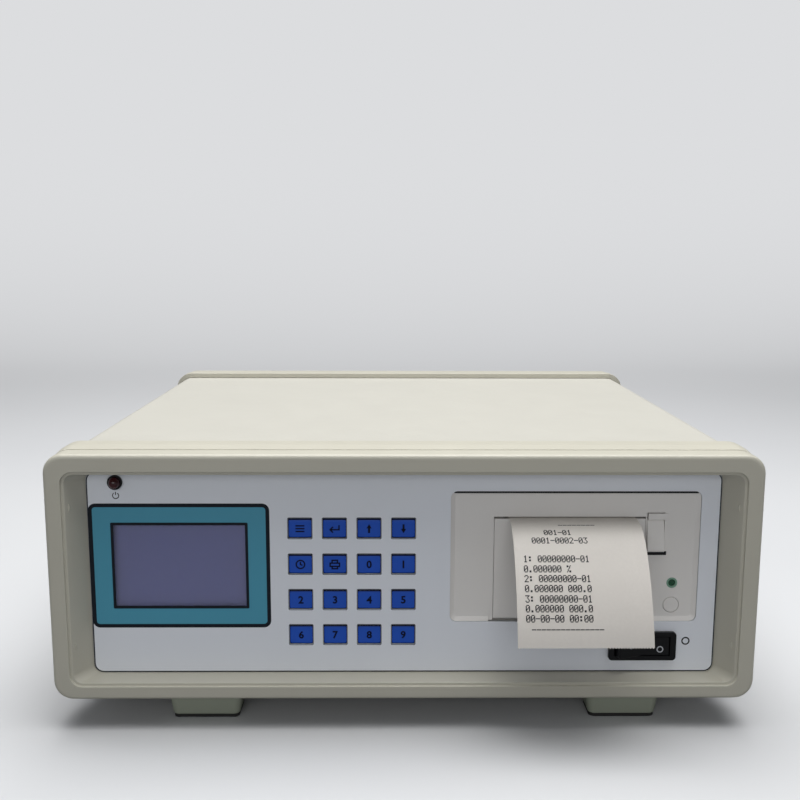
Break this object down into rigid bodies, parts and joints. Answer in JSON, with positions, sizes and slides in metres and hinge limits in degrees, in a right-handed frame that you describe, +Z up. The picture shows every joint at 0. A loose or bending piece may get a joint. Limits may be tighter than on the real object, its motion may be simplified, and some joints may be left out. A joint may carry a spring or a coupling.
{
  "type": "benchtop alkali analyser",
  "caption": "Low desktop analyser case in cream plastic frames: display, blue key panel, panel thermal printer with paper hanging out, rocker switch, rear sockets.",
  "frame": {"origin": "on the bench, at the middle of the instrument's outline seen from above, paper included", "axes": "+X to the right as the user faces the front, +Y from the front to the back, +Z up"},
  "size_m": [0.3136, 0.3185, 0.1268],
  "materials": {
    "frame_cream": "fine texture, moulded ABS, warm cream",
    "cover_cream": "smooth moulded ABS, pale warm grey",
    "panel_plate": "plain sheet",
    "panel_film": "printed film, blue-grey, satin",
    "window": "clear acrylic window, slightly grey",
    "lcd_glass": "display glass, unlit, grey-violet",
    "black_part": "black moulded plastic",
    "circuit_board": "green solder mask",
    "red_lens": "dark red lens, unlit",
    "green_lens": "green lens, unlit",
    "key_blue": "blue keycap, satin",
    "printer_grey": "warm grey moulded plastic",
    "rubber": "black rubber",
    "bare_steel": "turned or pressed steel",
    "nylon": "white acetal",
    "brass": "turned",
    "paper": "thermal paper",
    "switch_black": "black switch plastic",
    "zinc": "nickel plate",
    "psu_case": "folded sheet"
  },
  "bodies": {
    "case": {"front_frame": "frame_cream", "rear_frame": "frame_cream", "top_cover": "cover_cream", "bottom_cover": "cover_cream", "front_panel": "panel_plate", "panel_film": "panel_film", "display_window": "window", "lcd_glass": "lcd_glass", "lcd_bezel": "black_part", "lcd_board": "circuit_board", "power_light": "red_lens", "light_holder": "black_part", "keypad_board": "circuit_board", "printer_housing": "printer_grey", "printer_motor": "bare_steel", "thermal_head": "bare_steel", "paper_strip": "paper", "printer_light": "green_lens", "printer_board": "circuit_board", "printer_clamps": "bare_steel", "switch_body": "switch_black", "rear_panel": "panel_plate", "mains_inlet": "black_part", "inlet_pins": "zinc", "electrode_sockets": "zinc", "socket_insulators": "nylon", "serial_port": "zinc", "main_board": "circuit_board", "power_supply": "psu_case", "feet": "frame_cream", "foot_pads": "rubber", "screws": "bare_steel"},
    "printer_door": {"printer_door": "printer_grey"},
    "platen": {"platen_roller": "rubber", "platen_shaft": "bare_steel", "platen_gear": "nylon"},
    "idler": {"idler_gear": "nylon"},
    "pinion": {"motor_pinion": "brass"},
    "roll": {"paper_roll": "paper"},
    "latch": {"door_latch": "printer_grey"},
    "feed_button": {"feed_button": "printer_grey"},
    "rocker": {"switch_rocker": "switch_black"},
    "fuse_drawer": {"fuse_drawer": "black_part"},
    "key_menu": {"key_menu": "key_blue"},
    "key_enter": {"key_enter": "key_blue"},
    "key_up": {"key_up": "key_blue"},
    "key_down": {"key_down": "key_blue"},
    "key_clock": {"key_clock": "key_blue"},
    "key_print": {"key_print": "key_blue"},
    "key_0": {"key_0": "key_blue"},
    "key_1": {"key_1": "key_blue"},
    "key_2": {"key_2": "key_blue"},
    "key_3": {"key_3": "key_blue"},
    "key_4": {"key_4": "key_blue"},
    "key_5": {"key_5": "key_blue"},
    "key_6": {"key_6": "key_blue"},
    "key_7": {"key_7": "key_blue"},
    "key_8": {"key_8": "key_blue"},
    "key_9": {"key_9": "key_blue"}
  },
  "joints": [
    {"name": "door_hinge", "type": "hinge", "parent": "case", "child": "printer_door", "pos_m": [0.07406, -0.11935, 0.0479], "axis": [1, 0, 0], "range_deg": [0, 60], "deforming": ["paper_strip"]},
    {"name": "roll_spin", "type": "hinge", "parent": "case", "child": "roll", "pos_m": [0.07506, -0.09185, 0.0649], "axis": [1, 0, 0], "continuous": true},
    {"name": "platen_spin", "type": "hinge", "parent": "printer_door", "child": "platen", "pos_m": [0.07506, -0.11185, 0.087], "axis": [1, 0, 0], "continuous": true},
    {"name": "idler_spin", "type": "hinge", "parent": "case", "child": "idler", "pos_m": [0.04176, -0.09869, 0.08221], "axis": [1, 0, 0], "continuous": true},
    {"name": "pinion_spin", "type": "hinge", "parent": "case", "child": "pinion", "pos_m": [0.04176, -0.09306, 0.07162], "axis": [1, 0, 0], "continuous": true},
    {"name": "latch_slide", "type": "slide", "parent": "case", "child": "latch", "axis": [0, 0, 1], "range_m": [0, 0.0024], "stiffness_N_per_m": 150},
    {"name": "feed_press", "type": "slide", "parent": "case", "child": "feed_button", "axis": [0, 1, 0], "range_m": [0, 0.0008], "stiffness_N_per_m": 400},
    {"name": "rocker_tilt", "type": "hinge", "parent": "case", "child": "rocker", "pos_m": [0.108, -0.12215, 0.03485], "axis": [0, 0, -1], "range_deg": [0, 20]},
    {"name": "fuse_pull", "type": "slide", "parent": "case", "child": "fuse_drawer", "axis": [0, 1, 0], "range_m": [0, 0.014]},
    {"name": "press_menu", "type": "slide", "parent": "case", "child": "key_menu", "axis": [0, 1, 0], "range_m": [0, 0.0005], "stiffness_N_per_m": 400},
    {"name": "press_enter", "type": "slide", "parent": "case", "child": "key_enter", "axis": [0, 1, 0], "range_m": [0, 0.0005], "stiffness_N_per_m": 400},
    {"name": "press_up", "type": "slide", "parent": "case", "child": "key_up", "axis": [0, 1, 0], "range_m": [0, 0.0005], "stiffness_N_per_m": 400},
    {"name": "press_down", "type": "slide", "parent": "case", "child": "key_down", "axis": [0, 1, 0], "range_m": [0, 0.0005], "stiffness_N_per_m": 400},
    {"name": "press_clock", "type": "slide", "parent": "case", "child": "key_clock", "axis": [0, 1, 0], "range_m": [0, 0.0005], "stiffness_N_per_m": 400},
    {"name": "press_print", "type": "slide", "parent": "case", "child": "key_print", "axis": [0, 1, 0], "range_m": [0, 0.0005], "stiffness_N_per_m": 400},
    {"name": "press_0", "type": "slide", "parent": "case", "child": "key_0", "axis": [0, 1, 0], "range_m": [0, 0.0005], "stiffness_N_per_m": 400},
    {"name": "press_1", "type": "slide", "parent": "case", "child": "key_1", "axis": [0, 1, 0], "range_m": [0, 0.0005], "stiffness_N_per_m": 400},
    {"name": "press_2", "type": "slide", "parent": "case", "child": "key_2", "axis": [0, 1, 0], "range_m": [0, 0.0005], "stiffness_N_per_m": 400},
    {"name": "press_3", "type": "slide", "parent": "case", "child": "key_3", "axis": [0, 1, 0], "range_m": [0, 0.0005], "stiffness_N_per_m": 400},
    {"name": "press_4", "type": "slide", "parent": "case", "child": "key_4", "axis": [0, 1, 0], "range_m": [0, 0.0005], "stiffness_N_per_m": 400},
    {"name": "press_5", "type": "slide", "parent": "case", "child": "key_5", "axis": [0, 1, 0], "range_m": [0, 0.0005], "stiffness_N_per_m": 400},
    {"name": "press_6", "type": "slide", "parent": "case", "child": "key_6", "axis": [0, 1, 0], "range_m": [0, 0.0005], "stiffness_N_per_m": 400},
    {"name": "press_7", "type": "slide", "parent": "case", "child": "key_7", "axis": [0, 1, 0], "range_m": [0, 0.0005], "stiffness_N_per_m": 400},
    {"name": "press_8", "type": "slide", "parent": "case", "child": "key_8", "axis": [0, 1, 0], "range_m": [0, 0.0005], "stiffness_N_per_m": 400},
    {"name": "press_9", "type": "slide", "parent": "case", "child": "key_9", "axis": [0, 1, 0], "range_m": [0, 0.0005], "stiffness_N_per_m": 400}
  ],
  "couplings": [
    {"joint": "platen_spin", "follows": "roll_spin", "ratio": -3},
    {"joint": "idler_spin", "follows": "roll_spin", "ratio": 1.6667},
    {"joint": "pinion_spin", "follows": "roll_spin", "ratio": -5}
  ]
}
